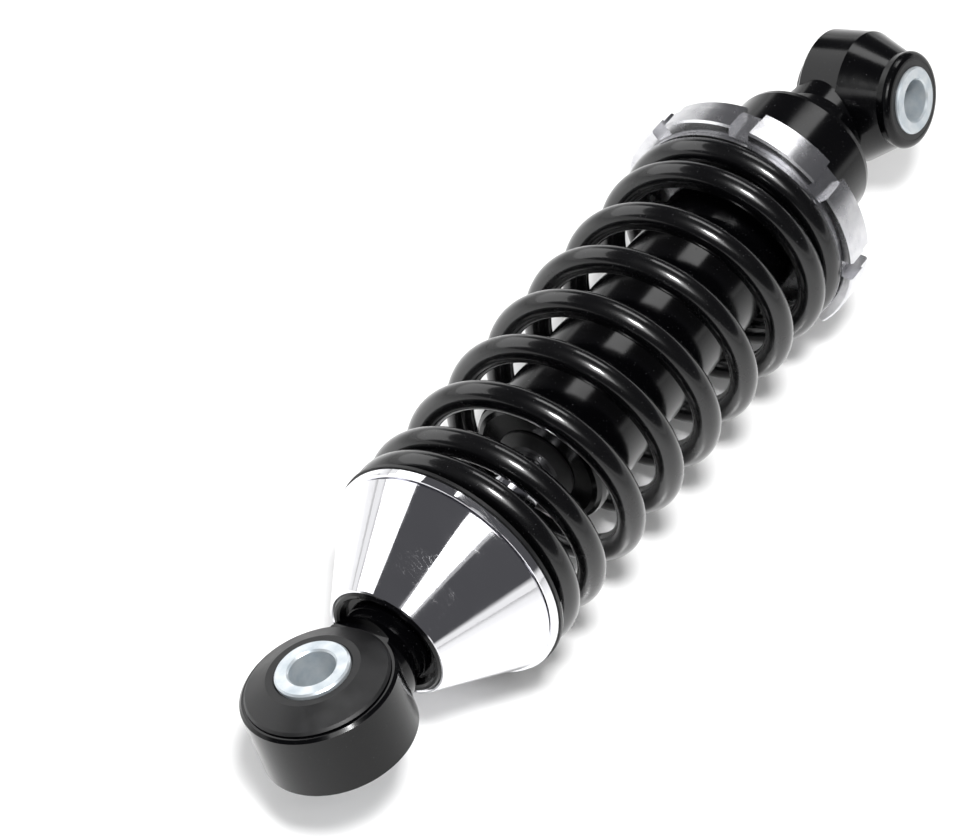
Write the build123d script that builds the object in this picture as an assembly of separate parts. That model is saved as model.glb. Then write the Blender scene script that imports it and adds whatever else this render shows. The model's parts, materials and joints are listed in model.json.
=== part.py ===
from build123d import *

import math
import os

# Rear shock absorber. The damper axis runs along +X from the upper eye, whose bore centre is the
# origin, to the lower eye. +Z is up as the shock lies at rest. All sizes are in millimetres.

# Overall
EYE_TO_EYE = 280.0
UPPER_ROLL = -24.0  # degrees the upper eye's bore is turned about X away from +Z
LOWER_ROLL = 63.0  # degrees the lower eye's bore is turned about X away from +Z

# Clearances
RUN = 0.04  # radial running clearance of a shaft in its hole
PUSH = 0.02  # radial clearance of pieces pushed together for good
SEAT = 0.05  # axial gap between pieces that rest on each other

# Eyes, bushes and sleeves
BOLT_BORE_D = 12.8
SLEEVE_OD = 20.6
UPPER_SLEEVE_L = 31.0
UPPER_EYE_OD = 43.0
UPPER_EYE_W = 20.4
UPPER_BUSH_OD = 35.0
LOWER_SLEEVE_L = 35.5
LOWER_SLEEVE_SHIFT = 5.75
LOWER_EYE_OD = 40.0
LOWER_EYE_W = 14.0
LOWER_NOSE_Z = 22.6
LOWER_NOSE_D = 29.8
LOWER_NOSE_ROUND = 2.2
LOWER_BUSH_OD = 24.6

# Rod and what it carries
ROD_D = 14.0
STUD_D = 12.0
ROD_SHOULDER_X = 38.4
NECK_D = 20.0
NECK_SHOULDER_X = 25.8
KEEPER_X0 = NECK_SHOULDER_X + SEAT
KEEPER_X1 = 31.0
KEEPER_D = 34.4
LOCK_NUT_AF = 19.0
CONE_X0 = 26.2
CONE_X1 = 56.0
CONE_SMALL_D = 36.4
BUMP_X0 = 40.2
BUMP_X1 = 52.0

# Damper body
TUBE_D = 42.0
TUBE_WALL = 2.5
TUBE_X0 = 100.0
TUBE_X1 = 240.0
HEAD_X1 = 116.0
OIL_GAP = 2.7
INNER_D = TUBE_D - 2 * TUBE_WALL - 2 * OIL_GAP
INNER_WALL = 2.1
INNER_X1 = 226.0
BASE_X0 = 222.1
BASE_PLATE_X = 240.2
BASE_X1 = 251.0
BASE_D = 46.0
VALVE_FACE_X = INNER_X1 - 4.0
VALVE_PIN_D = 5.8
VALVE_SHIM_R = 10.2
VALVE_NUT_AF = 9.0

# Piston stack, from the rod's shoulder on
STEM_D = 10.0
STEM_SHOULDER_X = 131.0
STEM_X1 = 155.0
WASHER_T = 1.5
SHIM_T = 1.4
PISTON_L = 11.0
BAND_W = 5.0
BAND_T = 1.3

# Spring
WIRE_D = 8.0
SPRING_OD = 70.8
CONE_RIM_D = SPRING_OD - 0.4
PAD_D = SPRING_OD + 0.4
PAD_X0 = CONE_X1 - 1.6
PAD_X1 = CONE_X1 + 1.0
SPRING_X0 = PAD_X1 + SEAT
SPRING_X1 = 209.5
SPRING_TURNS = 9.25
TIP_ANGLE = 162.0  # where the wire starts, degrees about X from +Y
DEAD_PITCH = 8.3
OPEN_START = 2.0
OPEN_END = 7.6
TIP_RISE = -0.8

# Preload adjuster
SEAT_WASHER_T = 1.2
RING_X0 = SPRING_X1 + SEAT + SEAT_WASHER_T + SEAT
RING_X1 = BASE_X0 - 0.3
RING_D = SPRING_OD + 6.2
RING_STEP_D = RING_D - 1.2
RING_STEP_X = RING_X0 + 6.4
NOTCHES = 8
NOTCH_W = 6.4
NOTCH_DEPTH = 3.6
NOTCH_ANGLE = 126.0
PRELOAD_LIFT = 7.5
PRELOAD_TURN = 150.0
PEG_D = 5.0
PEG_TIP_R = TUBE_D / 2 + 5.4
POCKET_R = PEG_TIP_R + 0.6
POCKET_DEPTH = 8.6
PEG_ANGLE = 30.0


def turned(points):
    """A solid turned about the damper axis from (x, radius) points."""
    return revolve(make_face(Polyline(*points, close=True)), Axis.X)


def eye_turned(points):
    """A solid turned about +Z, for an eye's own axis, from (radius, height) points."""
    return revolve(Plane.XZ * make_face(Polyline(*points, close=True)), Axis.Z)


def ring(x0, x1, inner_r, outer_r):
    """A plain ring about the damper axis."""
    return turned([(x0, inner_r), (x1, inner_r), (x1, outer_r), (x0, outer_r)])


def rod(x0, x1, radius):
    """A plain round bar on the damper axis."""
    return turned([(x0, 0), (x1, 0), (x1, radius), (x0, radius)])


def place_upper(shape):
    """Turn a piece of the upper eye to its roll about the damper axis."""
    return Rot(UPPER_ROLL, 0, 0) * shape


def place_lower(shape):
    """Move a piece of the lower eye to its centre and roll."""
    return Pos(EYE_TO_EYE, 0, 0) * Rot(LOWER_ROLL, 0, 0) * shape


def around_x(shape, count, first=0.0):
    """Copies of a shape spaced evenly about the damper axis."""
    return [Rot(first + i * 360.0 / count, 0, 0) * shape for i in range(count)]


def radial_bar(x, inner_r, outer_r, radius):
    """A round bar that stands out along +Y at x."""
    bar = Cylinder(radius, outer_r - inner_r, align=(Align.CENTER, Align.CENTER, Align.MIN))
    return Pos(x, inner_r, 0) * Rot(-90, 0, 0) * bar


def hex_nut(x0, x1, across_flats, bore_r):
    """A hexagonal nut on the damper axis with chamfered corners."""
    outline = Plane.YZ.offset(x0) * RegularPolygon(across_flats / 2, 6, major_radius=False)
    body = extrude(outline, x1 - x0)
    corner = across_flats / math.sqrt(3)
    flat = across_flats / 2
    bevel = corner - flat
    body &= turned(
        [(x0, 0), (x0, flat), (x0 + bevel / 2, corner), (x1 - bevel / 2, corner), (x1, flat), (x1, 0)]
    )
    return body - rod(x0 - 1, x1 + 1, bore_r)


def quarter_round(radius, z, corner):
    """Profile points of a rounded outer corner, from the side up to the end face."""
    turns = [math.radians(15 * step) for step in range(7)]
    return [(radius - corner * (1 - math.cos(a)), z - corner * (1 - math.sin(a))) for a in turns]


def cheeks(radius, half_width):
    """The room an eye's bush flanges need on each side of the loop."""
    side = Cylinder(radius, 30, align=(Align.CENTER, Align.CENTER, Align.MIN))
    upper = Pos(0, 0, half_width) * side
    return [upper, mirror(upper, Plane.XY)]


# Upper eye and the pieces on the rod


def upper_eye():
    """Forged eye: cross tube, tapering neck and the threaded stem that takes the rod."""
    half = UPPER_EYE_W / 2
    outer = UPPER_EYE_OD / 2
    inner = UPPER_BUSH_OD / 2
    tube = eye_turned(
        [
            (inner, -half),
            (outer - 0.8, -half),
            (outer, -half + 0.8),
            (outer, half - 0.8),
            (outer - 0.8, half),
            (inner, half),
        ]
    )
    neck = turned(
        [
            (12, 0),
            (12, 14.5),
            (19, 14),
            (23, 12.4),
            (NECK_SHOULDER_X, 12.4),
            (NECK_SHOULDER_X, NECK_D / 2),
            (KEEPER_X1 - 0.4, NECK_D / 2),
            (KEEPER_X1 - 0.4, 0),
        ]
    )
    neck -= place_upper(Cylinder(inner + 1, 4 * UPPER_EYE_W))
    for cheek in cheeks(outer + 0.4, half):
        neck -= place_upper(cheek)
    eye = place_upper(tube) + neck
    return eye - rod(18.4, KEEPER_X1, STUD_D / 2 + PUSH)


def upper_bush():
    """Rubber bush with a coned flange over each end of the eye's tube."""
    core = SLEEVE_OD / 2 + RUN
    outer = UPPER_BUSH_OD / 2 - PUSH
    tube_end = UPPER_EYE_W / 2
    lip = tube_end + SEAT
    top = UPPER_SLEEVE_L / 2 - 1.0
    half = [
        (core, 0),
        (outer, 0),
        (outer, lip),
        (19.6, lip),
        (19.9, lip + 0.4),
        (19.3, lip + 1.1),
        (12.9, top),
        (core + 0.5, top),
        (core, top - 0.5),
    ]
    upper_half = eye_turned(half)
    return place_upper(upper_half + mirror(upper_half, Plane.XY))


def sleeve(length):
    """Plated steel bush sleeve with chamfered ends and bore."""
    half = length / 2
    outer = SLEEVE_OD / 2
    bore = BOLT_BORE_D / 2
    return eye_turned(
        [
            (bore, -half + 0.5),
            (bore + 0.5, -half),
            (outer - 0.5, -half),
            (outer, -half + 0.5),
            (outer, half - 0.5),
            (outer - 0.5, half),
            (bore + 0.5, half),
            (bore, half - 0.5),
        ]
    )


def keeper_dish():
    """Dished retainer that the cone hangs on: raised rim, sunk face and a hub round the neck."""
    outer = KEEPER_D / 2
    return turned(
        [
            (KEEPER_X0, NECK_D / 2 + PUSH),
            (KEEPER_X1, NECK_D / 2 + PUSH),
            (KEEPER_X1, outer),
            (KEEPER_X0 + 0.6, outer),
            (KEEPER_X0, outer - 0.6),
            (KEEPER_X0, outer - 1.4),
            (KEEPER_X0 + 0.5, outer - 2.0),
            (KEEPER_X0 + 2.6, outer - 2.8),
            (KEEPER_X0 + 2.6, 12.9),
            (KEEPER_X0, 12.6),
        ]
    )


def rod_lock_nut():
    """Nut that locks the rod in the eye and clamps the neck."""
    return hex_nut(KEEPER_X1 + SEAT, ROD_SHOULDER_X - SEAT, LOCK_NUT_AF, STUD_D / 2 + PUSH)


def spring_cone():
    """Spun and polished cone: mouth for the keeper, inner collar, spring seat flange and rim band."""
    small = CONE_SMALL_D / 2
    rim = CONE_RIM_D / 2
    band = CONE_X1 - 2.7
    mouth = KEEPER_D / 2 + PUSH
    seat = rim - 1.8
    slope = (rim - 0.9 - small) / (band - CONE_X0)
    wall = 2.4
    return turned(
        [
            (CONE_X0 + 0.3, mouth),
            (CONE_X0, mouth + 0.3),
            (CONE_X0, small - 0.2),
            (CONE_X0 + 0.2, small),
            (band - 0.5, small + slope * (band - 0.5 - CONE_X0)),
            (band - 0.35, small + slope * (band - 0.5 - CONE_X0) - 0.5),
            (band, small + slope * (band - 0.5 - CONE_X0) - 0.5),
            (band + 0.1, rim - 0.3),
            (band + 0.5, rim),
            (CONE_X1 - 0.4, rim),
            (CONE_X1, rim - 0.4),
            (CONE_X1, seat),
            (PAD_X0, seat),
            (PAD_X0, 25.0),
            (PAD_X0 - 2.6, 25.0),
            (PAD_X0 - 2.6, small + slope * (PAD_X0 - 2.6 - CONE_X0) - wall),
            (KEEPER_X1 + 3.6, small + slope * (KEEPER_X1 + 3.6 - CONE_X0) - wall),
            (KEEPER_X1 + 2.6, 12.4),
            (KEEPER_X1 + SEAT, 12.4),
            (KEEPER_X1 + SEAT, mouth),
        ]
    )


def upper_spring_pad():
    """Rubber ring in the cone's seat, with a thin flange between the rim and the first coil."""
    seat = CONE_RIM_D / 2 - 1.8 - PUSH
    return turned(
        [
            (PAD_X0 + SEAT, 25.3),
            (PAD_X1, 25.3),
            (PAD_X1, PAD_D / 2),
            (CONE_X1 + SEAT, PAD_D / 2),
            (CONE_X1 + SEAT, seat),
            (PAD_X0 + SEAT, seat),
        ]
    )


def damper_rod():
    """Chromed rod: threaded stud, ground shank and the stem for the piston stack."""
    radius = ROD_D / 2
    stud = STUD_D / 2
    stem = STEM_D / 2
    return turned(
        [
            (19.0, 0),
            (19.0, stud - 0.8),
            (19.8, stud),
            (ROD_SHOULDER_X, stud),
            (ROD_SHOULDER_X, radius - 0.5),
            (ROD_SHOULDER_X + 0.5, radius),
            (STEM_SHOULDER_X, radius),
            (STEM_SHOULDER_X, stem),
            (STEM_X1 - 0.8, stem),
            (STEM_X1, stem - 0.8),
            (STEM_X1, 0),
        ]
    )


def bump_washer():
    """Steel washer on the shank behind the bump stop."""
    return ring(ROD_SHOULDER_X + 0.6, BUMP_X0 - SEAT, ROD_D / 2 + RUN, 15.5)


def bump_stop():
    """Waisted rubber bump stop on the shank."""
    bore = ROD_D / 2 + RUN
    middle = (BUMP_X0 + BUMP_X1) / 2
    return turned(
        [
            (BUMP_X0, bore),
            (BUMP_X0, 14.8),
            (BUMP_X0 + 3.5, 15.2),
            (middle - 0.6, 13.4),
            (middle + 0.6, 13.4),
            (BUMP_X1 - 3.2, 14.6),
            (BUMP_X1 - 0.6, 12.6),
            (BUMP_X1, 11.4),
            (BUMP_X1, bore),
        ]
    )


def coil(x0, x1, mean_r, wire_r, turns, start=0.0):
    """A plain helical spring about the damper axis."""
    helix = Helix(pitch=(x1 - x0) / turns, height=x1 - x0, radius=mean_r)
    section = Plane(origin=helix @ 0, z_dir=helix % 0) * Circle(wire_r)
    wire = sweep(section, path=helix, is_frenet=True)
    return Pos(x0, 0, 0) * Rot(start, 0, 0) * Rot(0, 90, 0) * wire


def topout_spring():
    """Small spring that softens the end of the rebound stroke."""
    return coil(HEAD_X1 + 4.4, STEM_SHOULDER_X - 1.2, 9.6, 0.9, 4.0)


def topout_washer():
    """Washer against the rod's shoulder, under the top-out spring."""
    return ring(STEM_SHOULDER_X + SEAT, STEM_SHOULDER_X + SEAT + WASHER_T, STEM_D / 2 + RUN, 12.4)


def shims(x0, outer, inner):
    """A stack of three thin shims that get smaller away from the piston."""
    step = SHIM_T / 3
    discs = []
    for i in range(3):
        lower = x0 + i * step + 0.02
        discs.append(ring(lower, x0 + (i + 1) * step, inner, outer[i]))
    return discs


def rebound_shims():
    """Shims that cover the piston's rebound ports."""
    x0 = STEM_SHOULDER_X + 2 * SEAT + WASHER_T
    return shims(x0, (8.6, 10.0, 11.4), STEM_D / 2 + RUN)


def piston():
    """Piston with six ports and a groove for its band."""
    x0 = STEM_SHOULDER_X + 3 * SEAT + WASHER_T + SHIM_T
    x1 = x0 + PISTON_L
    outer = 13.4
    groove = 13.66 - BAND_T - RUN
    middle = (x0 + x1) / 2
    body = turned(
        [
            (x0, STEM_D / 2 + RUN),
            (x1, STEM_D / 2 + RUN),
            (x1, outer - 0.5),
            (x1 - 0.5, outer),
            (middle + BAND_W / 2 + 0.1, outer),
            (middle + BAND_W / 2 + 0.1, groove),
            (middle - BAND_W / 2 - 0.1, groove),
            (middle - BAND_W / 2 - 0.1, outer),
            (x0 + 0.5, outer),
            (x0, outer - 0.5),
        ]
    )
    port = Pos(x0 - 1, 8.8, 0) * Rot(0, 90, 0) * Cylinder(
        1.5, PISTON_L + 2, align=(Align.CENTER, Align.CENTER, Align.MIN)
    )
    for hole in around_x(port, 6):
        body -= hole
    return body


def piston_band():
    """Wear band that slides in the inner tube while the piston can turn inside it."""
    x0 = STEM_SHOULDER_X + 3 * SEAT + WASHER_T + SHIM_T
    middle = x0 + PISTON_L / 2
    return ring(middle - BAND_W / 2, middle + BAND_W / 2, 13.66 - BAND_T, 13.66)


def compression_shims():
    """Shims that cover the piston's compression ports."""
    x0 = STEM_SHOULDER_X + 4 * SEAT + WASHER_T + SHIM_T + PISTON_L
    return shims(x0, (11.4, 10.0, 8.6), STEM_D / 2 + RUN)


def piston_nut():
    """Nut that clamps the piston stack."""
    x0 = STEM_SHOULDER_X + 5 * SEAT + WASHER_T + 2 * SHIM_T + PISTON_L
    return hex_nut(x0, x0 + 6.5, 17.0, STEM_D / 2 + PUSH)


# Damper body


def damper_tube():
    """Outer tube with its open end rolled in over the seal head, and a groove for the retaining ring."""
    outer = TUBE_D / 2
    inner = outer - TUBE_WALL
    bead = HEAD_X1 + SEAT
    return turned(
        [
            (TUBE_X0, 12.1),
            (TUBE_X0, outer - 3.0),
            (TUBE_X0 + 0.4, outer - 1.6),
            (TUBE_X0 + 1.3, outer - 0.5),
            (TUBE_X0 + 2.8, outer),
            (TUBE_X1, outer),
            (TUBE_X1, inner),
            (bead + 1.7, inner),
            (bead + 1.7, inner + 0.9),
            (bead, inner + 0.9),
            (bead, inner),
            (TUBE_X0 + 2.0, inner),
            (TUBE_X0 + 2.0, 12.1),
        ]
    )


def rod_wiper():
    """Rubber scraper in the mouth of the tube."""
    bore = ROD_D / 2 + RUN
    return turned(
        [
            (TUBE_X0 - 2.4, bore),
            (TUBE_X0 + 1.9, bore),
            (TUBE_X0 + 1.9, 12.1 - PUSH),
            (TUBE_X0 - 0.6, 12.1 - PUSH),
            (TUBE_X0 - 2.4, 8.6),
        ]
    )


def seal_head():
    """Aluminium head that guides the rod and closes the oil space."""
    x0 = TUBE_X0 + 2.0 + SEAT
    outer = TUBE_D / 2 - TUBE_WALL - PUSH
    spigot = INNER_D / 2 - INNER_WALL - PUSH
    return turned(
        [
            (x0, 12.0),
            (x0 + 5.2, 12.0),
            (x0 + 5.2, ROD_D / 2 + 0.6),
            (HEAD_X1 - 7.0, ROD_D / 2 + 0.6),
            (HEAD_X1 - 7.0, 8.1),
            (HEAD_X1 + 3.0, 8.1),
            (HEAD_X1 + 3.0, spigot),
            (HEAD_X1, spigot),
            (HEAD_X1, outer),
            (HEAD_X1 - 2.6, outer),
            (HEAD_X1 - 2.6, outer - 1.5),
            (HEAD_X1 - 4.8, outer - 1.5),
            (HEAD_X1 - 4.8, outer),
            (x0, outer),
        ]
    )


def rod_seal():
    """Lip seal round the rod."""
    x0 = TUBE_X0 + 2.0 + 2 * SEAT
    bore = ROD_D / 2 + RUN
    return turned(
        [
            (x0, bore),
            (x0 + 1.6, bore),
            (x0 + 2.4, bore + 0.9),
            (x0 + 3.2, bore),
            (x0 + 5.0, bore + 1.4),
            (x0 + 5.0, 12.0 - PUSH),
            (x0, 12.0 - PUSH),
        ]
    )


def guide_bushing():
    """Thin plain bearing pressed in the seal head."""
    return ring(HEAD_X1 - 7.0 + SEAT, HEAD_X1 + 3.0, ROD_D / 2 + RUN, 8.1 - PUSH)


def head_o_ring():
    """Seal ring in the groove of the seal head."""
    outer = TUBE_D / 2 - TUBE_WALL - PUSH
    centre = Pos(HEAD_X1 - 3.7, outer - 0.75, 0)
    return revolve(centre * Circle(0.72), Axis.X)


def retaining_ring():
    """Snap ring that holds the seal head in the tube, open for the pliers."""
    inner = TUBE_D / 2 - TUBE_WALL
    x0 = HEAD_X1 + 2 * SEAT
    body = ring(x0, x0 + 1.5, inner - 2.1, inner + 0.8)
    return body - Pos(x0 + 0.75, inner, 0) * Box(4, 8, 7)


def inner_tube():
    """Pressure tube the piston works in."""
    return ring(HEAD_X1 + SEAT, INNER_X1, INNER_D / 2 - INNER_WALL, INNER_D / 2)


def base_valve():
    """Foot valve body with four ports and the pin for its shims."""
    spigot = INNER_D / 2 - INNER_WALL - PUSH
    body = turned(
        [
            (VALVE_FACE_X - 10.0, 0),
            (VALVE_FACE_X - 10.0, VALVE_PIN_D / 2),
            (VALVE_FACE_X, VALVE_PIN_D / 2),
            (VALVE_FACE_X, spigot),
            (INNER_X1 + SEAT, spigot),
            (INNER_X1 + SEAT, INNER_D / 2),
            (INNER_X1 + 3.0, INNER_D / 2),
            (INNER_X1 + 3.0, 0),
        ]
    )
    port = Pos(VALVE_FACE_X - 2.0, 7.6, 0) * Rot(0, 90, 0) * Cylinder(
        1.6, 14.0, align=(Align.CENTER, Align.CENTER, Align.MIN)
    )
    for hole in around_x(port, 4):
        body -= hole
    return body


def base_shims():
    """Shims on the foot valve's ports."""
    outer = (VALVE_SHIM_R - 3.6, VALVE_SHIM_R - 1.8, VALVE_SHIM_R)
    return shims(VALVE_FACE_X - SEAT - SHIM_T, outer, VALVE_PIN_D / 2 + RUN)


def base_valve_nut():
    """Nut on the foot valve's pin."""
    x1 = VALVE_FACE_X - 2 * SEAT - SHIM_T
    return hex_nut(x1 - 5.0, x1, VALVE_NUT_AF, VALVE_PIN_D / 2 + PUSH)


def base_cap():
    """Deep cap over the tube's end: skirt, rounded rim, end plate and the ring under the foot valve."""
    outer = BASE_D / 2
    bore = TUBE_D / 2 + PUSH
    body = turned(
        [
            (BASE_X0, bore),
            (BASE_X0, outer - 0.6),
            (BASE_X0 + 0.6, outer),
            (BASE_X1 - 3.2, outer),
            (BASE_X1 - 1.6, outer - 0.4),
            (BASE_X1 - 0.5, outer - 1.5),
            (BASE_X1, outer - 3.0),
            (BASE_X1, 0),
            (BASE_PLATE_X, 0),
            (BASE_PLATE_X, 11.5),
            (INNER_X1 + 3.0 + SEAT, 11.5),
            (INNER_X1 + 3.0 + SEAT, INNER_D / 2),
            (BASE_PLATE_X, INNER_D / 2),
            (BASE_PLATE_X, bore),
        ]
    )
    slot = Pos(INNER_X1 + 4.5, 13.7, 0) * Box(4, 8, 5)
    for gap in around_x(slot, 4):
        body -= gap
    return body


def lower_eye():
    """Forged eye with a coned nose on its outer side, on a stem that is welded to the base cap."""
    half = LOWER_EYE_W / 2
    outer = LOWER_EYE_OD / 2
    inner = LOWER_BUSH_OD / 2
    nose = LOWER_NOSE_D / 2
    loop = eye_turned(
        [
            (inner, -half),
            (outer - 0.8, -half),
            (outer, -half + 0.8),
            (outer, half),
            (nose - 0.5, LOWER_NOSE_Z - 2 * LOWER_NOSE_ROUND),
            *quarter_round(nose, LOWER_NOSE_Z, LOWER_NOSE_ROUND),
            (inner, LOWER_NOSE_Z),
        ]
    )
    stem_x0 = BASE_X1 + SEAT
    stem = turned(
        [
            (stem_x0, 0),
            (stem_x0, 18.0),
            (stem_x0 + 2.5, 15.6),
            (stem_x0 + 9.0, 14.4),
            (stem_x0 + 18.0, 15.0),
            (stem_x0 + 18.0, 0),
        ]
    )
    stem -= place_lower(Cylinder(inner + 1, 4 * LOWER_EYE_W))
    for cheek in cheeks(outer + 0.4, half):
        stem -= place_lower(cheek)
    return place_lower(loop) + stem


def lower_bush():
    """Rubber bush inside the lower eye, with a shoulder on the eye's inner side."""
    core = SLEEVE_OD / 2 + RUN
    outer = LOWER_BUSH_OD / 2 - PUSH
    lip = LOWER_EYE_W / 2 + SEAT
    inner_end = LOWER_SLEEVE_L / 2 - LOWER_SLEEVE_SHIFT - 0.6
    outer_end = LOWER_NOSE_Z - SEAT
    profile = [
        (core, outer_end),
        (outer, outer_end),
        (outer, -lip),
        (outer + 2.0, -lip),
        (outer + 2.0, 1.0 - inner_end),
        (outer + 1.0, -inner_end),
        (core, -inner_end),
    ]
    return place_lower(eye_turned(profile))


def cam_pegs():
    """Two pegs on the tube that the adjuster's ramps rest on."""
    x = RING_X1 - POCKET_DEPTH + PEG_D / 2 + SEAT
    tube = rod(x - PEG_D, x + PEG_D, TUBE_D / 2 + PUSH)
    bar = radial_bar(x, TUBE_D / 2 - 3, PEG_TIP_R, PEG_D / 2) - tube
    return around_x(bar, 2, PEG_ANGLE)


# Spring and preload adjuster


def wire_x(turn):
    """Axial place of the wire's centre: closed turns at both ends, open coils between them."""
    start = SPRING_X0 + TIP_RISE
    finish = SPRING_X1 - TIP_RISE
    ease = 0.75
    low = start + DEAD_PITCH * (OPEN_START - ease)
    high = finish - DEAD_PITCH * (SPRING_TURNS - OPEN_END - ease)
    open_turns = OPEN_END - OPEN_START
    pitch = (high - low - DEAD_PITCH * ease) / (open_turns + ease)
    if turn <= OPEN_START - ease:
        return start + DEAD_PITCH * turn
    if turn < OPEN_START:
        done = turn - (OPEN_START - ease)
        return low + DEAD_PITCH * done + (pitch - DEAD_PITCH) * done * done / (2 * ease)
    bottom = low + (DEAD_PITCH + pitch) * ease / 2
    if turn <= OPEN_END:
        return bottom + pitch * (turn - OPEN_START)
    top = bottom + pitch * open_turns
    if turn < OPEN_END + ease:
        done = turn - OPEN_END
        return top + pitch * done - (pitch - DEAD_PITCH) * done * done / (2 * ease)
    return high + DEAD_PITCH * (turn - OPEN_END - ease)


def coil_spring():
    """Main spring: closed ends, ground flat, open coils of even pitch."""
    mean_r = (SPRING_OD - WIRE_D) / 2
    per_turn = 24
    count = int(round(SPRING_TURNS * per_turn))
    points = []
    for i in range(count + 1):
        turn = i / per_turn
        angle = math.radians(TIP_ANGLE + 360.0 * turn)
        points.append((wire_x(turn), mean_r * math.cos(angle), mean_r * math.sin(angle)))
    path = Spline(*points)
    section = Plane(origin=path @ 0, z_dir=path % 0) * Circle(WIRE_D / 2)
    wire = sweep(section, path=path, is_frenet=True)
    return wire & rod(SPRING_X0, SPRING_X1, SPRING_OD)


def lower_spring_seat():
    """Hardened washer between the last coil and the adjuster."""
    x0 = SPRING_X1 + SEAT
    return ring(x0, x0 + SEAT_WASHER_T, TUBE_D / 2 + RUN, SPRING_OD / 2 - 1)


def cam_pocket():
    """The space one ramp clears for its peg, seen with the ring at its lowest preload."""
    pitch = PRELOAD_LIFT / PRELOAD_TURN * 360.0
    spare = 9.0
    sweep_angle = PRELOAD_TURN + 2 * spare
    height = pitch * sweep_angle / 360.0
    inner = TUBE_D / 2 - 0.5
    helix = Helix(pitch=pitch, height=height, radius=(inner + POCKET_R) / 2, lefthand=True)
    slot = Plane.XZ * Pos((inner + POCKET_R) / 2, 6.5) * Rectangle(POCKET_R - inner, 13.0)
    body = sweep(slot, path=helix, is_frenet=True)
    x0 = RING_X1 - POCKET_DEPTH - pitch * spare / 360.0
    return Pos(x0, 0, 0) * Rot(90 + spare, 0, 0) * Rot(0, 90, 0) * body


def preload_cam_ring():
    """Polished adjuster ring: two bands, notches for a hook spanner and two ramps inside."""
    bore = TUBE_D / 2 + RUN
    wide = RING_D / 2
    narrow = RING_STEP_D / 2
    body = turned(
        [
            (RING_X0, bore),
            (RING_X0, wide - 0.6),
            (RING_X0 + 0.6, wide),
            (RING_STEP_X, wide),
            (RING_STEP_X, narrow),
            (RING_X1 - 0.6, narrow),
            (RING_X1, narrow - 0.6),
            (RING_X1, bore),
        ]
    )
    notch = Pos((RING_X0 + RING_X1) / 2, wide, 0) * Box(20, 2 * NOTCH_DEPTH, NOTCH_W)
    for cut in around_x(notch, NOTCHES, NOTCH_ANGLE):
        body -= cut
    for pocket in around_x(cam_pocket(), 2, PEG_ANGLE):
        body -= pocket
    return body


def upper_sleeve():
    """Plated sleeve of the upper eye."""
    return place_upper(sleeve(UPPER_SLEEVE_L))


def lower_sleeve():
    """Plated sleeve of the lower eye."""
    return place_lower(Pos(0, 0, LOWER_SLEEVE_SHIFT) * sleeve(LOWER_SLEEVE_L))


PIECES = (
    upper_eye,
    upper_bush,
    upper_sleeve,
    keeper_dish,
    rod_lock_nut,
    spring_cone,
    upper_spring_pad,
    damper_rod,
    bump_washer,
    bump_stop,
    topout_spring,
    topout_washer,
    rebound_shims,
    piston,
    piston_band,
    compression_shims,
    piston_nut,
    damper_tube,
    rod_wiper,
    seal_head,
    rod_seal,
    guide_bushing,
    head_o_ring,
    retaining_ring,
    inner_tube,
    base_valve,
    base_shims,
    base_valve_nut,
    base_cap,
    lower_eye,
    lower_bush,
    lower_sleeve,
    cam_pegs,
    coil_spring,
    lower_spring_seat,
    preload_cam_ring,
)

os.makedirs("parts", exist_ok=True)
for make in PIECES:
    shape = make()
    if isinstance(shape, list):
        shape = Compound(children=shape)
    export_step(shape, f"parts/{make.__name__}.step")
    print(make.__name__, round(shape.volume, 1), len(shape.solids()))
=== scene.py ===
# %% [markdown]
# # A rear shock absorber in a white studio
# The shock lies on its side on a pale floor: upper eye towards the viewer, lower eye away.
# Its damper axis runs along +X from the upper eye, whose bore centre is the origin, and +Z is up.
# Every hard piece comes ready made from the CAD frame, because those shapes are turned or forged
# and are already right. This lesson gives each of them a finish, winds the spring again as a finer
# mesh, and lights the result. All lengths here are in metres.

# %% Load the frame
import json
import math

import bmesh
import bpy
from mathutils import Matrix, Vector


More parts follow.
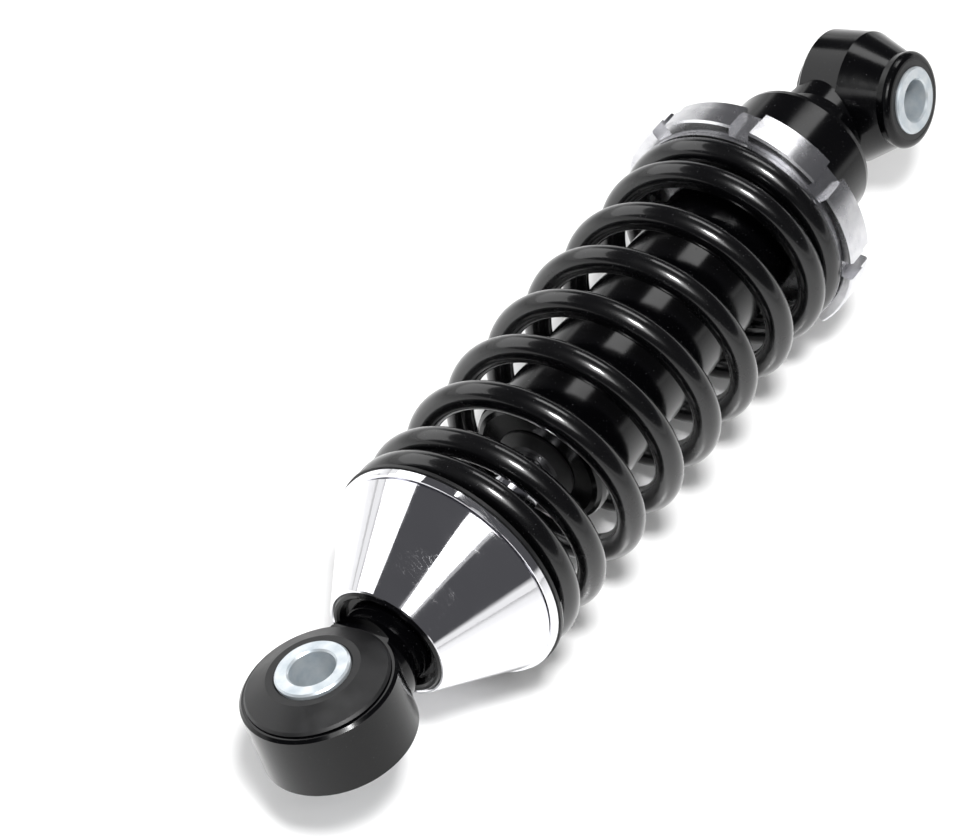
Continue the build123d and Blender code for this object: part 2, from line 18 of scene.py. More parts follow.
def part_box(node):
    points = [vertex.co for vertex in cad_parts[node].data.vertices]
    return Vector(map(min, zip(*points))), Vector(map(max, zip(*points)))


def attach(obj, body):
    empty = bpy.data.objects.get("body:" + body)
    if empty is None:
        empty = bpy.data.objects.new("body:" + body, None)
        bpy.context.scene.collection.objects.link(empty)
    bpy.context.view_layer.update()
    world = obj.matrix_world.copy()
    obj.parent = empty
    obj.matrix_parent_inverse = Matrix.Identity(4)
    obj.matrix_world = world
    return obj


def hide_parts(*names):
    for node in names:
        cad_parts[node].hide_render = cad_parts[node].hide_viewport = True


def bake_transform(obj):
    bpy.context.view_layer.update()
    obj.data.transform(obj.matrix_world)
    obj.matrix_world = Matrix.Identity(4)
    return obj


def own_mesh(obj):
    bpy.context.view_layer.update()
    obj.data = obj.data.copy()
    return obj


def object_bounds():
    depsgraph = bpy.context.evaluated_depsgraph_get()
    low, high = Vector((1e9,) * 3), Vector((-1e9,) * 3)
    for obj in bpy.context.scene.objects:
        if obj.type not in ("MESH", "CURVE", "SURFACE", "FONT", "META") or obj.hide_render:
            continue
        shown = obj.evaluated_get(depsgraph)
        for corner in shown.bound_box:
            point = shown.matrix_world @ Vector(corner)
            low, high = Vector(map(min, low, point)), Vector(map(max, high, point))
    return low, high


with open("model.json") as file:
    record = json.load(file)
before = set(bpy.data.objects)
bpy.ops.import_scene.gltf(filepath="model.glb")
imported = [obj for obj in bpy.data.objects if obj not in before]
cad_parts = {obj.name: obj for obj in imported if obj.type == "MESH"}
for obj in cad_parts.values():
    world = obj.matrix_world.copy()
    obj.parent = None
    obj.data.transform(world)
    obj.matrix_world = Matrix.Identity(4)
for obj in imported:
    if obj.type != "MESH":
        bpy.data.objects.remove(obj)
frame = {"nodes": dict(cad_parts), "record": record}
cad_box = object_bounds()
nodes = frame["nodes"]
slots = {part["node"]: part["material_slot"] for part in frame["record"]["subparts"]}
print(len(nodes), "nodes in", len(set(slots.values())), "finishes")

# %% [markdown]
# ## Sizes the lesson needs
# A few places on the shock are used again below. Where the spring starts and ends, and how wide it
# is, comes from the box of its CAD node. A box can't tell the rest: how thick the wire is, how the
# closed turns and open coils are pitched, how far the rod travels, and where the two eyes point.
# Those values repeat the CAD model's own. Only the place where the spring is parted in two, for
# its movement, is chosen here.

# %% Places and sizes
MM = 0.001
spring_low, spring_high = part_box("coil_spring")
SPRING_X0 = spring_low.x
SPRING_X1 = spring_high.x
WIRE_R = 4.0 * MM
MEAN_R = (spring_high.z - spring_low.z) / 2 - WIRE_R
TURNS = 9.25
TIP_ANGLE = math.radians(162)
DEAD_PITCH = 8.3 * MM
TIP_RISE = -0.8 * MM
OPEN_START = 2.0
OPEN_END = 7.6
EASE = 0.75
SPLIT_X = 0.170
UPPER_ROLL = math.radians(-24)
LOWER_ROLL = math.radians(63)
LOWER_EYE_X = 0.280
print("spring from", round(SPRING_X0, 4), "to", round(SPRING_X1, 4))
print("mean radius of the coils", round(MEAN_R, 5))


# %% [markdown]
# ## Tools for finishes
# A finish is a small tree of shader nodes. One function turns a colour written as sRGB hex into the
# linear numbers a shader wants, one adds any node with its settings and links, and one starts a
# material. Patterns are driven by object coordinates, which are real metres here, so a grain of
# half a millimetre is simply a texture scale of 1 / 0.0005.


# %% Colour, node and material helpers
def linear(colour):
    """Linear RGBA of an sRGB hex colour."""
    parts = [int(colour[i : i + 2], 16) / 255 for i in (1, 3, 5)]
    return [p / 12.92 if p <= 0.04045 else ((p + 0.055) / 1.055) ** 2.4 for p in parts] + [1.0]


def link(tree, value, socket):
    """Link a socket, or a node's first output, to a socket."""
    first = value.outputs[0] if isinstance(value, bpy.types.Node) else value
    tree.links.new(first, socket)


def add(tree, kind, inputs=None, **settings):
    """A node with its settings. An input is a value, or a node or socket to link from."""
    made = tree.nodes.new(kind)
    for name, value in settings.items():
        setattr(made, name, value)
    for name, value in (inputs or {}).items():
        if isinstance(value, (bpy.types.Node, bpy.types.NodeSocket)):
            link(tree, value, made.inputs[name])
        else:
            made.inputs[name].default_value = value
    return made


def material(name, colour, **principled):
    """A material and its tree, with one principled shader set and joined to the output."""
    made = bpy.data.materials.new(name)
    made.use_nodes = True
    tree = made.node_tree
    tree.nodes.clear()
    sockets = {key.replace("_", " "): value for key, value in principled.items()}
    shader = add(tree, "ShaderNodeBsdfPrincipled", {"Base Color": linear(colour), **sockets})
    add(tree, "ShaderNodeOutputMaterial", {"Surface": shader})
    return made, tree, shader


# What most of the noise patterns below share.
NOISE = {"Detail": 2.0, "Roughness": 0.55}
print("helpers ready")


# %% [markdown]
# ## Marks that run round a turned piece
# Polished, turned and spun metal carries marks that run round its axis. To draw them, a point is
# described as length along the axis, distance from it, and angle about it. The angle is
# multiplied by a radius so that all three are metres; a stretched noise then draws rings. A noise
# that is near its middle value only along thin lines draws the scratches.


# %% Coordinates round an axis, and scratches
def round_axis(tree, radius, centre_x=0.0, roll=None):
    """(along, out, round) in metres. The axis is the damper's, or an eye's where roll is given."""
    where = add(tree, "ShaderNodeTexCoord").outputs["Object"]
    if roll is None:
        split = add(tree, "ShaderNodeSeparateXYZ", {0: where}).outputs
        along, side, up = split[0], split[1], split[2]
    else:
        to_eye = (-centre_x, 0, 0)
        shifted = add(tree, "ShaderNodeVectorMath", {0: where, 1: to_eye}, operation="ADD")
        turned = add(
            tree,
            "ShaderNodeVectorRotate",
            {"Vector": shifted, "Angle": -roll},
            rotation_type="X_AXIS",
        )
        split = add(tree, "ShaderNodeSeparateXYZ", {0: turned}).outputs
        along, side, up = split[2], split[0], split[1]
    side_square = add(tree, "ShaderNodeMath", {0: side, 1: side}, operation="MULTIPLY")
    up_square = add(tree, "ShaderNodeMath", {0: up, 1: up}, operation="MULTIPLY")
    square = add(tree, "ShaderNodeMath", {0: side_square, 1: up_square}, operation="ADD")
    out = add(tree, "ShaderNodeMath", {0: square, 1: 0.0}, operation="SQRT")
    angle = add(tree, "ShaderNodeMath", {0: up, 1: side}, operation="ARCTAN2")
    arc = add(tree, "ShaderNodeMath", {0: angle, 1: radius}, operation="MULTIPLY")
    return add(tree, "ShaderNodeCombineXYZ", {0: along, 1: out, 2: arc})


def stretched(tree, vector, size, turn=0.0):
    """Coordinates divided by a size per axis, after a turn in the along-round plane."""
    turned = add(
        tree, "ShaderNodeVectorRotate", {"Vector": vector, "Angle": turn}, rotation_type="Y_AXIS"
    )
    scale = tuple(1 / s for s in size)
    return add(tree, "ShaderNodeVectorMath", {0: turned, 1: scale}, operation="MULTIPLY")


HAIR_PATCH = 18 * MM
HAIR_WIDTH = 0.012
PATCH_EDGE = 0.06


def hairlines(tree, vector, length, spacing, turn, share):
    """Thin scratches of a length and spacing in metres, over a share of the surface."""
    drawn_out = stretched(tree, vector, (spacing, spacing, length), turn)
    lines = add(
        tree,
        "ShaderNodeTexNoise",
        {**NOISE, "Vector": drawn_out, "Scale": 1.0, "Detail": 1.0},
    )
    patches = add(tree, "ShaderNodeTexNoise", {**NOISE, "Vector": vector, "Scale": 1 / HAIR_PATCH})
    offset = add(tree, "ShaderNodeMath", {0: lines, 1: 0.5}, operation="SUBTRACT")
    distance = add(tree, "ShaderNodeMath", {0: offset, 1: 0.0}, operation="ABSOLUTE")
    line = add(
        tree,
        "ShaderNodeMapRange",
        {"Value": distance, "From Max": HAIR_WIDTH, "To Min": 1.0, "To Max": 0.0},
    )
    there = add(
        tree,
        "ShaderNodeMapRange",
        {"Value": patches, "From Min": 1 - share, "From Max": 1 + PATCH_EDGE - share},
    )
    return add(tree, "ShaderNodeMath", {0: line, 1: there}, operation="MULTIPLY")


print("ring coordinates and hairlines ready")

# %% [markdown]
# ## Chrome on the cone
# Decorative chrome is a mirror with a story: the cone was spun and buffed, so very fine marks run
# round it, and it has been wiped and handled, so faint smears and a few crossing hairlines show
# where it reflects something dark. Smears only change the roughness a little. Hairlines are rough
# and also slightly proud, so they catch the light. Real buffing marks are finer than this; they
# are drawn 0.22 mm apart so that they can show.

# %% Polished chrome
CONE_MARKS_R = 30 * MM
SMEAR_SIZE = (6 * MM, 6 * MM, 22 * MM)
SMEAR_TURN = 0.5
BUFFING_SIZE = (0.22 * MM, 0.22 * MM, 20 * MM)
HAIR_ROUGHNESS = 0.22
CHROME_RELIEF = 0.0012 * MM

chrome, tree, shader = material("Chrome_polished_and_wiped", "#EDEDF0", Metallic=1.0)
rings = round_axis(tree, CONE_MARKS_R)
smears = add(
    tree,
    "ShaderNodeTexNoise",
    {
        **NOISE,
        "Vector": stretched(tree, rings, SMEAR_SIZE, SMEAR_TURN),
        "Scale": 1.0,
        "Detail": 4.0,
    },
)
falling = hairlines(tree, rings, length=16 * MM, spacing=1.1 * MM, turn=0.35, share=0.52)
rising = hairlines(tree, rings, length=12 * MM, spacing=0.9 * MM, turn=-0.6, share=0.46)
hair = add(tree, "ShaderNodeMath", {0: falling, 1: rising}, operation="MAXIMUM")
buffing = add(
    tree,
    "ShaderNodeTexNoise",
    {**NOISE, "Vector": stretched(tree, rings, BUFFING_SIZE), "Scale": 1.0},
)
shine = add(
    tree,
    "ShaderNodeMapRange",
    {"Value": smears, "From Min": 0.35, "From Max": 0.75, "To Min": 0.035, "To Max": 0.10},
)
rough_hair = add(tree, "ShaderNodeMath", {0: hair, 1: HAIR_ROUGHNESS}, operation="MULTIPLY")
link(
    tree,
    add(tree, "ShaderNodeMath", {0: shine, 1: rough_hair}, operation="ADD"),
    shader.inputs["Roughness"],
)
half_buffing = add(tree, "ShaderNodeMath", {0: buffing, 1: 0.5}, operation="MULTIPLY")
relief = add(tree, "ShaderNodeMath", {0: half_buffing, 1: hair}, operation="ADD")
proud = add(
    tree, "ShaderNodeBump", {"Height": relief, "Strength": 1.0, "Distance": CHROME_RELIEF}
)
link(tree, proud, shader.inputs["Normal"])
print(chrome.name)

# %% [markdown]
# ## Black coatings
# The spring is powder coated: the powder melts into a thick glossy coat with a soft orange-peel
# waviness a millimetre or two across, under a clearer, smoother top skin that gives the tight
# highlight. The eyes, tube, keeper and cap wear a thinner stoved enamel, smoother and without that
# skin. Both carry specks of dust and slight changes of gloss, which is what separates paint from
# plain black plastic. The specks are drawn half a millimetre across so that they can show.


# %% Powder coat and enamel
HAZE_SIZE = 9 * MM
DUST_SIZE = 0.5 * MM
DUST_COLOUR = "#3A3A3C"
DUST_ROUGHNESS = 0.3
SKIN_ROUGHNESS = 0.06


def black_paint(name, colour, ior, peel, depth, gloss, skin):
    """A black coating with orange peel of a size and depth, uneven gloss and a clear skin."""
    made, tree, shader = material(
        name, colour, IOR=ior, Coat_Weight=skin, Coat_Roughness=SKIN_ROUGHNESS
    )
    where = add(tree, "ShaderNodeTexCoord").outputs["Object"]
    wave = add(tree, "ShaderNodeTexNoise", {**NOISE, "Vector": where, "Scale": 1 / peel})
    haze = add(
        tree,
        "ShaderNodeTexNoise",
        {**NOISE, "Vector": where, "Scale": 1 / HAZE_SIZE, "Detail": 4.0},
    )
    dust = add(
        tree,
        "ShaderNodeTexNoise",
        {**NOISE, "Vector": where, "Scale": 1 / DUST_SIZE, "Detail": 1.0},
    )
    speck = add(tree, "ShaderNodeMapRange", {"Value": dust, "From Min": 0.74, "From Max": 0.78})
    level = add(
        tree,
        "ShaderNodeMapRange",
        {
            "Value": haze,
            "From Min": 0.3,
            "From Max": 0.75,
            "To Min": gloss[0],
            "To Max": gloss[1],
        },
    )
    dull = add(tree, "ShaderNodeMath", {0: speck, 1: DUST_ROUGHNESS}, operation="MULTIPLY")
    rough = add(tree, "ShaderNodeMath", {0: level, 1: dull}, operation="ADD")
    link(tree, rough, shader.inputs["Roughness"])
    shade = add(
        tree,
        "ShaderNodeMix",
        {"Factor": speck, "A": linear(colour), "B": linear(DUST_COLOUR)},
        data_type="RGBA",
    )
    link(tree, shade.outputs["Result"], shader.inputs["Base Color"])
    waviness = add(tree, "ShaderNodeBump", {"Height": wave, "Strength": 1.0, "Distance": depth})
    link(tree, waviness, shader.inputs["Normal"])
    return made


powder_coat = black_paint(
    "Powder_coat_gloss_black",
    "#030304",
    ior=1.42,
    peel=1.6 * MM,
    depth=0.010 * MM,
    gloss=(0.20, 0.30),
    skin=0.5,
)
enamel = black_paint(
    "Stoved_enamel_black",
    "#030304",
    ior=1.38,
    peel=2.6 * MM,
    depth=0.005 * MM,
    gloss=(0.12, 0.20),
    skin=0.0,
)
print(powder_coat.name, enamel.name)

# %% [markdown]
# ## Where the coil ends were ground
# A closed spring end is ground flat so it stands square, then coated with the rest. The coating is
# thin there and the grinding lines still show, running round the spring. Its colour is a dark grey,
# lighter than the black coat: that lightness is a painted reflection of the pale floor.

# %% Ground and coated spring end
END_MARKS_R = 34 * MM
GRINDING_SIZE = (0.4 * MM, 0.4 * MM, 9 * MM)
GRINDING_RELIEF = 0.02 * MM

# Painted reflection: the grey colours here are lighter than the black coat and stand for the pale
# floor mirrored in the flat end.
ground, tree, shader = material(
    "Spring_end_ground_coated_painted_reflection", "#2E2E30", IOR=1.5, Metallic=0.35
)
rings = round_axis(tree, END_MARKS_R)
lines = add(
    tree,
    "ShaderNodeTexNoise",
    {**NOISE, "Vector": stretched(tree, rings, GRINDING_SIZE), "Scale": 1.0, "Detail": 3.0},
)
rough = add(
    tree,
    "ShaderNodeMapRange",
    {"Value": lines, "From Min": 0.3, "From Max": 0.7, "To Min": 0.34, "To Max": 0.52},
)
link(tree, rough, shader.inputs["Roughness"])
# The grinding lines move the painted-reflection grey between a darker and a lighter tone.
tint = add(
    tree,
    "ShaderNodeMix",
    {"Factor": lines, "A": linear("#232325"), "B": linear("#4A4A4D")},
    data_type="RGBA",
)
link(tree, tint.outputs["Result"], shader.inputs["Base Color"])
scored = add(
    tree, "ShaderNodeBump", {"Height": lines, "Strength": 1.0, "Distance": GRINDING_RELIEF}
)
link(tree, scored, shader.inputs["Normal"])
print(ground.name)

# %% [markdown]
# ## Rubber
# Bush rubber leaves a fine-textured mould, so it is satin rather than shiny. A little bloom makes
# it patchy, and its grain is about a third of a millimetre.

# %% Moulded rubber
RUBBER_GRAIN = 0.35 * MM
BLOOM_SIZE = 8 * MM
RUBBER_RELIEF = 0.02 * MM

rubber, tree, shader = material("Rubber_moulded_satin", "#101011", IOR=1.52)
where = add(tree, "ShaderNodeTexCoord").outputs["Object"]
grain = add(tree, "ShaderNodeTexNoise", {**NOISE, "Vector": where, "Scale": 1 / RUBBER_GRAIN})
bloom = add(
    tree,
    "ShaderNodeTexNoise",
    {**NOISE, "Vector": where, "Scale": 1 / BLOOM_SIZE, "Detail": 4.0},
)
rough = add(
    tree,
    "ShaderNodeMapRange",
    {"Value": bloom, "From Min": 0.3, "From Max": 0.7, "To Min": 0.40, "To Max": 0.54},
)
link(tree, rough, shader.inputs["Roughness"])
bloomed = add(
    tree,
    "ShaderNodeMapRange",
    {"Value": bloom, "From Min": 0.45, "From Max": 0.8, "To Max": 0.6},
)
tint = add(
    tree,
    "ShaderNodeMix",
    {"Factor": bloomed, "A": linear("#0E0E0F"), "B": linear("#232325")},
    data_type="RGBA",
)
link(tree, tint.outputs["Result"], shader.inputs["Base Color"])
textured = add(
    tree, "ShaderNodeBump", {"Height": grain, "Strength": 1.0, "Distance": RUBBER_RELIEF}
)
link(tree, textured, shader.inputs["Normal"])
print(rubber.name)


# %% [markdown]
# ## Bare and plated metal
# The bush sleeves are turned steel with a blue-white zinc plate, which is only part metal to the
# eye: soft tool rings on the end faces, and a bluish patchy sheen. The adjuster ring is chromed
# over a turned face, so it is satin beside the cone. The rest is hidden until somebody takes the
# shock apart: the rod is ground and chromed almost to a mirror, plain steel is grey and oily,
# sintered steel is dull and grainy, aluminium is pale, and the bearing shell is brown bronze. One
# recipe makes them all, because each is tool rings, patches of a second colour and a roughness.

# %% Turned and plated metals
TOOL_SIZE = (0.25 * MM, 0.25 * MM, 15 * MM)
METAL_PATCH = 4 * MM
SLEEVE_R = 10 * MM
RING_R = 37 * MM


def turned_metal(name, colours, rough, depth, radius=SLEEVE_R, centre_x=0.0, roll=None, metal=1.0):
    """Machined metal: tool rings about an axis, and patches from one colour to another."""
    made, tree, shader = material(name, colours[0], Metallic=metal)
    rings = round_axis(tree, radius, centre_x, roll)
    tool = add(
        tree,
        "ShaderNodeTexNoise",
        {**NOISE, "Vector": stretched(tree, rings, TOOL_SIZE), "Scale": 1.0},
    )
    where = add(tree, "ShaderNodeTexCoord").outputs["Object"]
    patch = add(
        tree,
        "ShaderNodeTexNoise",
        {**NOISE, "Vector": where, "Scale": 1 / METAL_PATCH, "Detail": 4.0},
    )
    level = add(
        tree,
        "ShaderNodeMapRange",
        {
            "Value": patch,
            "From Min": 0.3,
            "From Max": 0.75,
            "To Min": rough[0],
            "To Max": rough[1],
        },
    )
    link(tree, level, shader.inputs["Roughness"])
    share = add(tree, "ShaderNodeMapRange", {"Value": patch, "From Min": 0.35, "From Max": 0.7})
    tint = add(
        tree,
        "ShaderNodeMix",
        {"Factor": share, "A": linear(colours[0]), "B": linear(colours[1])},
        data_type="RGBA",
    )
    link(tree, tint.outputs["Result"], shader.inputs["Base Color"])
    rings_relief = add(
        tree, "ShaderNodeBump", {"Height": tool, "Strength": 1.0, "Distance": depth}
    )
    link(tree, rings_relief, shader.inputs["Normal"])
    return made


ZINC = {"colours": ("#CDD2D5", "#B6C0C7"), "rough": (0.28, 0.42), "depth": 0.010 * MM, "metal": 0.6}
zinc_upper = turned_metal("Zinc_plate_on_upper_sleeve", roll=UPPER_ROLL, **ZINC)
zinc_lower = turned_metal(
    "Zinc_plate_on_lower_sleeve", centre_x=LOWER_EYE_X, roll=LOWER_ROLL, **ZINC
)
plain_steel = turned_metal(
    "Steel_machined_and_oiled", ("#A9A9AB", "#8D8D90"), (0.22, 0.38), 0.010 * MM
)
hard_chrome = turned_metal("Chrome_ground_rod", ("#D9D9DC", "#CFCFD4"), (0.05, 0.10), 0.001 * MM)
sintered = turned_metal(
    "Steel_sintered_and_oiled", ("#7E7E80", "#6B6B6E"), (0.42, 0.60), 0.030 * MM
)
aluminium = turned_metal("Aluminium_turned", ("#D5D5D8", "#C4C4C8"), (0.24, 0.36), 0.012 * MM)
bronze = turned_metal("Bronze_bearing_shell", ("#B58A54", "#A57846"), (0.25, 0.40), 0.008 * MM)
ring_plate = turned_metal(
    "Chrome_satin_on_the_ring", ("#DCDCDE", "#CDCDD1"), (0.20, 0.30), 0.003 * MM, radius=RING_R
)
print("metals:", ", ".join(m.name for m in (zinc_upper, zinc_lower, ring_plate, hard_chrome)))

# %% [markdown]
# ## The piston's wear band
# The band is a plastic filled with bronze powder. It is matt and brown with fine bright flecks.
# The real powder is finer; its flecks are drawn 0.3 mm across so that they can show.

# %% Filled plastic
FLECK_SIZE = 0.3 * MM

filled, tree, shader = material("Plastic_bronze_filled", "#6B4A30", IOR=1.4)
where = add(tree, "ShaderNodeTexCoord").outputs["Object"]
fleck = add(tree, "ShaderNodeTexNoise", {**NOISE, "Vector": where, "Scale": 1 / FLECK_SIZE})
bright = add(tree, "ShaderNodeMapRange", {"Value": fleck, "From Min": 0.55, "From Max": 0.7})
tint = add(
    tree,
    "ShaderNodeMix",
    {"Factor": bright, "A": linear("#5C3F29"), "B": linear("#9A7348")},
    data_type="RGBA",
)
link(tree, tint.outputs["Result"], shader.inputs["Base Color"])
rough = add(
    tree,
    "ShaderNodeMapRange",
    {"Value": fleck, "From Min": 0.3, "From Max": 0.7, "To Min": 0.45, "To Max": 0.6},
)
link(tree, rough, shader.inputs["Roughness"])
print(filled.name)

# %% [markdown]
# ## Give each CAD node its finish
# The record already says which finish each node has, so a table from the record's slot names to
# the materials above is enough. Two nodes have a material of their own: the lower sleeve, whose
# tool rings run round a different axis from the upper one's, and the adjuster ring, which is
# satin where the cone is polished.

# %% Materials onto the CAD nodes
FINISHES = {
    "black_enamel": enamel,
    "black_rubber": rubber,
    "zinc_plate": zinc_upper,
    "plain_steel": plain_steel,
    "polished_chrome": chrome,
    "hard_chrome": hard_chrome,
    "sintered_steel": sintered,
    "filled_ptfe": filled,
    "turned_aluminium": aluminium,
    "bronze_bushing": bronze,
    "black_spring_coat": powder_coat,
}
OWN_FINISH = {"lower_sleeve": zinc_lower, "preload_cam_ring": ring_plate}
for name, node in nodes.items():
    finish = OWN_FINISH.get(name, FINISHES[slots[name]])
    if not node.material_slots:
        node.data.materials.append(finish)
    for slot in node.material_slots:
        slot.material = finish
print(len(nodes), "nodes painted")


# %% [markdown]
# ## Wind the spring
# The spring is one round bar wound on a helix. Both ends are closed: two turns lie almost touching,
# then the pitch eases open. It could be a curve with a round bevel, but a mesh can be ground flat
# and parted, so it is wound ring by ring: each ring of the bar stands square to the helix. The
# helix is right-handed. First comes the wire's path, in five stretches: closed, easing open, open,
# easing closed, closed.


# %% The wire's path
def wire_x(turn):
    """Axial place of the wire's centre after a number of turns."""
    start = SPRING_X0 + TIP_RISE
    finish = SPRING_X1 - TIP_RISE
    low = start + DEAD_PITCH * (OPEN_START - EASE)
    high = finish - DEAD_PITCH * (TURNS - OPEN_END - EASE)
    open_turns = OPEN_END - OPEN_START
    pitch = (high - low - DEAD_PITCH * EASE) / (open_turns + EASE)
    bottom = low + (DEAD_PITCH + pitch) * EASE / 2
    top = bottom + pitch * open_turns
    if turn <= OPEN_START - EASE:
        return start + DEAD_PITCH * turn
    if turn < OPEN_START:
        done = turn - (OPEN_START - EASE)
        return low + DEAD_PITCH * done + (pitch - DEAD_PITCH) * done * done / (2 * EASE)
    if turn <= OPEN_END:
        return bottom + pitch * (turn - OPEN_START)
    if turn < OPEN_END + EASE:
        done = turn - OPEN_END
        return top + pitch * done - (pitch - DEAD_PITCH) * done * done / (2 * EASE)
    return high + DEAD_PITCH * (turn - OPEN_END - EASE)


def wire_centre(turn):
    """The wire's centre after a number of turns, wound clockwise away from the upper eye."""
    angle = TIP_ANGLE + 2 * math.pi * turn
    return Vector((wire_x(turn), MEAN_R * math.cos(angle), MEAN_R * math.sin(angle)))


print("wire from", [round(v, 4) for v in wire_centre(0)])
print("to", [round(v, 4) for v in wire_centre(TURNS)])


# %% [markdown]
# The bar is swept first. Each end is then ground: a plane cuts away what stands past the seat, and
# the cut is closed with a flat face that gets the ground finish. Last, the spring is parted in two
# where the coils are open.


# %% Sweep, grind and part the spring
WIRE_SIDES = 40
STEPS_PER_TURN = 84
SMALL_TURN = 0.001
CUT_TOLERANCE = 1e-7
SHARP_ANGLE = math.radians(35)
GROUND_SLOT = 1


def wire_ring(bm, turn):
    """The corners of one ring round the wire, square to the helix."""
    centre = wire_centre(turn)
    ahead = (wire_centre(turn + SMALL_TURN) - wire_centre(turn - SMALL_TURN)).normalized()
    out = Vector((0, centre.y, centre.z)).normalized()
    out = (out - ahead * out.dot(ahead)).normalized()
    side = ahead.cross(out)
    corners = []
    for k in range(WIRE_SIDES):
        a = 2 * math.pi * k / WIRE_SIDES
        corners.append(bm.verts.new(centre + WIRE_R * (math.cos(a) * out + math.sin(a) * side)))
    return corners


def swept_wire():
    """The whole bar as a mesh, before its ends are ground."""
    bm = bmesh.new()
    count = int(TURNS * STEPS_PER_TURN)
    rings = [wire_ring(bm, TURNS * i / count) for i in range(count + 1)]
    for first, second in zip(rings, rings[1:]):
        for k in range(WIRE_SIDES):
            n = (k + 1) % WIRE_SIDES
            bm.faces.new((first[k], first[n], second[n], second[k]))
    bm.faces.new(rings[0][::-1])
    bm.faces.new(rings[-1])
    bmesh.ops.recalc_face_normals(bm, faces=bm.faces)
    return bm


def cut(bm, x, away, close):
    """Cut the mesh at a plane across the damper axis and drop the side it points to."""
    made = bmesh.ops.bisect_plane(
        bm,
        geom=bm.verts[:] + bm.edges[:] + bm.faces[:],
        plane_co=(x, 0, 0),
        plane_no=(away, 0, 0),
        clear_outer=True,
        dist=CUT_TOLERANCE,
    )
    if close:
        edges = [e for e in made["geom_cut"] if isinstance(e, bmesh.types.BMEdge)]
        capped = bmesh.ops.triangle_fill(bm, edges=edges, use_beauty=True, normal=(away, 0, 0))
        for face in (f for f in capped["geom"] if isinstance(f, bmesh.types.BMFace)):
            face.material_index = GROUND_SLOT


def spring_piece(name, x_cut, away):
    """One part of the spring as an object, cut at the parting plane."""
    bm = swept_wire()
    cut(bm, SPRING_X0, -1, True)
    cut(bm, SPRING_X1, 1, True)
    cut(bm, x_cut, away, False)
    mesh = bpy.data.meshes.new(name)
    bm.to_mesh(mesh)
    bm.free()
    mesh.materials.append(powder_coat)
    mesh.materials.append(ground)
    mesh.shade_smooth()
    mesh.set_sharp_from_angle(angle=SHARP_ANGLE)
    piece = bpy.data.objects.new(name, mesh)
    bpy.context.collection.objects.link(piece)
    return piece


main_coils = spring_piece("coil_spring_main", SPLIT_X, 1)
collar_coils = spring_piece("coil_spring_collar_end", SPLIT_X, -1)
print(len(main_coils.data.polygons), "and", len(collar_coils.data.polygons), "faces")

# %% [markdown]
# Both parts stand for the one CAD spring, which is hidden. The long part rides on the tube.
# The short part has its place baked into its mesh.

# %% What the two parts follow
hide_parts("coil_spring")
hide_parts("coil_spring")
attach(main_coils, "damper_body")
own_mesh(main_coils)
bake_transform(collar_coils)

# %% [markdown]
# ## Floor
# A white glossy board. It is pale enough to read as white in the light, keeps a soft shadow, and
# mirrors the underside of the shock faintly. Its gloss wanders a little, as a real board's does.

# %% The floor
FLOOR_Z = cad_box[0].z
FLOOR_HALF = 6.0
FLOOR_HAZE = 50 * MM

floor_mesh = bpy.data.meshes.new("studio_floor")
square = ((-1, -1), (1, -1), (1, 1), (-1, 1))
corners = [(x * FLOOR_HALF, y * FLOOR_HALF, FLOOR_Z) for x, y in square]
floor_mesh.from_pydata(corners, [], [(0, 1, 2, 3)])
floor = bpy.data.objects.new("studio_floor", floor_mesh)
bpy.context.collection.objects.link(floor)
board, tree, shader = material("Board_white_gloss", "#FAFAFA", IOR=1.45)
where = add(tree, "ShaderNodeTexCoord").outputs["Object"]
haze = add(
    tree,
    "ShaderNodeTexNoise",
    {**NOISE, "Vector": where, "Scale": 1 / FLOOR_HAZE, "Detail": 3.0},
)
rough = add(
    tree,
    "ShaderNodeMapRange",
    {"Value": haze, "From Min": 0.3, "From Max": 0.7, "To Min": 0.16, "To Max": 0.22},
)
link(tree, rough, shader.inputs["Roughness"])
floor_mesh.materials.append(board)
print("floor at z =", round(FLOOR_Z, 4))


# %% [markdown]
# ## Light
# A small square key hangs high over the upper eye, on the viewer's side, and gives the shadows
# their edge. Two wide weak lamps stand beside it and draw the bright streak down the middle of the
# cone. A long softbox stands low on the far side: it draws the white band on the cone's other
# flank and the broad highlights on the coils. A lamp beyond the lower eye lights the adjuster ring
# and the tube. Between them the ceiling is dark, and that is what makes chrome look like chrome
# and black paint look black.


# %% Softboxes
def softbox(name, where, target, size, watts):
    """A rectangular area light that looks at a target."""
    lamp = bpy.data.lights.new(name, "AREA")
    lamp.shape = "RECTANGLE"
    lamp.size, lamp.size_y = size
    lamp.energy = watts
    made = bpy.data.objects.new(name, lamp)
    bpy.context.collection.objects.link(made)
    look = (Vector(target) - Vector(where)).normalized()
    turn = look.to_track_quat("-Z", "Y").to_matrix().to_4x4()
    made.matrix_world = Matrix.Translation(where) @ turn


MIDDLE = (0.13, 0.0, 0.0)
CONE = (0.03, 0.0, 0.0)
OVER_CONE = (0.05, 0.0, 0.05)
RING = (0.21, 0.0, 0.0)
softbox("key_above", (-0.22, -0.20, 1.13), MIDDLE, size=(0.22, 0.22), watts=14)
softbox("streak_above", (-0.44, -0.30, 0.95), CONE, size=(0.56, 0.24), watts=1.4)
softbox("streak_edge", (-0.46, -0.36, 0.98), CONE, size=(0.98, 0.30), watts=0.35)
softbox("band_behind", (0.05, 1.10, 0.48), OVER_CONE, size=(1.6, 0.62), watts=6)
softbox("ring_light", (0.90, 0.10, 0.95), RING, size=(0.55, 0.35), watts=2.4)
print(len(bpy.data.lights), "softboxes")

# %% [markdown]
# ## The room
# The walls are white up to a little above the horizon and the ceiling is dark grey. Metal and
# paint see that room; matt surfaces get an even white fill instead, so that the floor stays pale.

# %% World
WALLS_END = 0.09
CEILING_START = 0.16
FILL_STRENGTH = 0.45

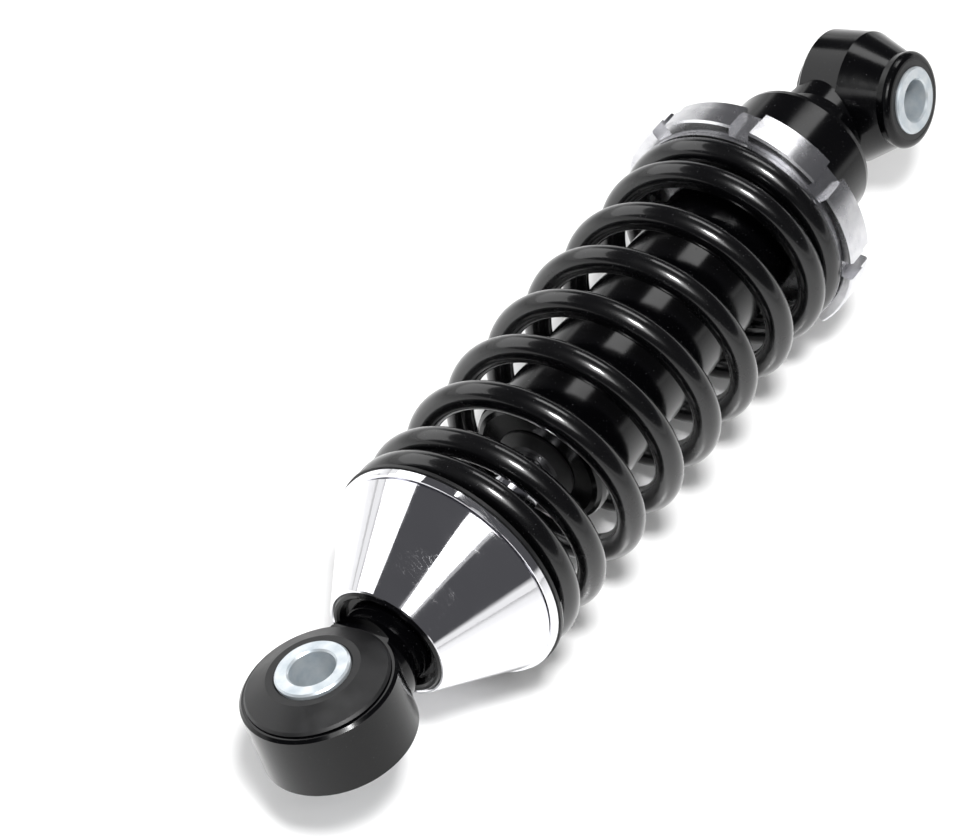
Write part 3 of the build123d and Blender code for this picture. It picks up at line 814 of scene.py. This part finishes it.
world = bpy.data.worlds.new("studio_room")
bpy.context.scene.world = world
world.use_nodes = True
tree = world.node_tree
tree.nodes.clear()
direction = add(tree, "ShaderNodeTexCoord").outputs["Generated"]
height = add(tree, "ShaderNodeSeparateXYZ", {0: direction}).outputs[2]
ceiling = add(
    tree,
    "ShaderNodeMapRange",
    {"Value": height, "From Min": WALLS_END, "From Max": CEILING_START},
)
walls = add(
    tree,
    "ShaderNodeMix",
    {"Factor": ceiling, "A": linear("#FFFFFF"), "B": linear("#505053")},
    data_type="RGBA",
)
room = add(tree, "ShaderNodeBackground", {"Color": walls.outputs["Result"], "Strength": 1.0})
fill = add(
    tree, "ShaderNodeBackground", {"Color": linear("#FFFFFF"), "Strength": FILL_STRENGTH}
)
ray = add(tree, "ShaderNodeLightPath").outputs
seen = add(
    tree, "ShaderNodeMath", {0: ray["Is Camera Ray"], 1: ray["Is Glossy Ray"]}, operation="MAXIMUM"
)
seen = add(tree, "ShaderNodeMath", {0: seen, 1: ray["Is Transmission Ray"]}, operation="MAXIMUM")
mixed = add(tree, "ShaderNodeMixShader", {0: seen, 1: fill, 2: room})
add(tree, "ShaderNodeOutputWorld", {"Surface": mixed})
print("world made")

# %% [markdown]
# ## Camera
# A telephoto lens looks down along the shock from over the upper eye, which keeps the far eye from
# shrinking too much. Its place and its right and up directions are written as plain numbers; the
# small shift slides the frame without turning the camera.

# %% Camera
CAMERA_PLACE = (-0.3846, -0.2364, 0.6879)
CAMERA_RIGHT = (0.5463, -0.8338, 0.0791)
CAMERA_UP = (0.6232, 0.4678, 0.6267)
LENS = 118.72
SENSOR_WIDTH = 36.0
SHIFT = (-0.0112, -0.0228)

right = Vector(CAMERA_RIGHT).normalized()
up = Vector(CAMERA_UP)
up = (up - right * up.dot(right)).normalized()
back = right.cross(up)
camera_data = bpy.data.cameras.new("studio_camera")
camera_data.lens = LENS
camera_data.sensor_width = SENSOR_WIDTH
camera_data.shift_x, camera_data.shift_y = SHIFT
camera_data.clip_start = 0.01
camera_data.clip_end = 50.0
camera = bpy.data.objects.new("studio_camera", camera_data)
bpy.context.collection.objects.link(camera)
facing = Matrix((right, up, back)).transposed().to_4x4()
camera.matrix_world = Matrix.Translation(CAMERA_PLACE) @ facing
bpy.context.scene.camera = camera
bpy.context.scene.view_settings.view_transform = "Standard"
print("camera at", CAMERA_PLACE)
